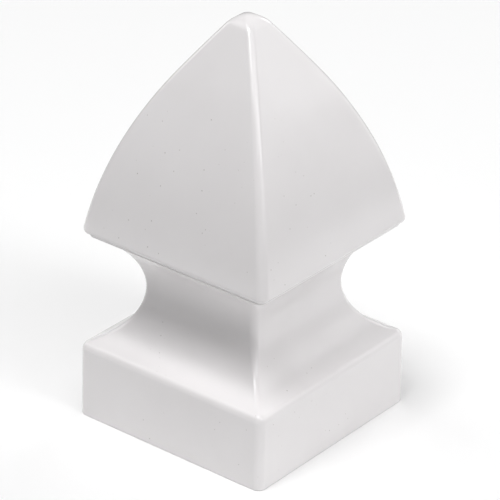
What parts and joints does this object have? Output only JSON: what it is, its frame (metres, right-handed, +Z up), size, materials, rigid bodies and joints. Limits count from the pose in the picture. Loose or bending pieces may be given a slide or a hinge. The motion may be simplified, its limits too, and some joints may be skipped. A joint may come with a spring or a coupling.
{
  "type": "fence post cap",
  "caption": "Gothic fence post cap in white vinyl: an open square skirt that slides over the post, a waisted cove neck and a hollow four-sided pointed head bonded on top.",
  "frame": {"origin": "centre of the skirt's flat bottom rim", "axes": "+Z up the post's centre line to the point; the four faces are square to X and Y"},
  "size_m": [0.109, 0.109, 0.2022],
  "materials": {
    "white_pvc": "glossy as-moulded white PVC with a faint ripple, and specks of dust"
  },
  "bodies": {
    "root": {"cove_base": "white_pvc", "gothic_head": "white_pvc"}
  },
  "joints": []
}
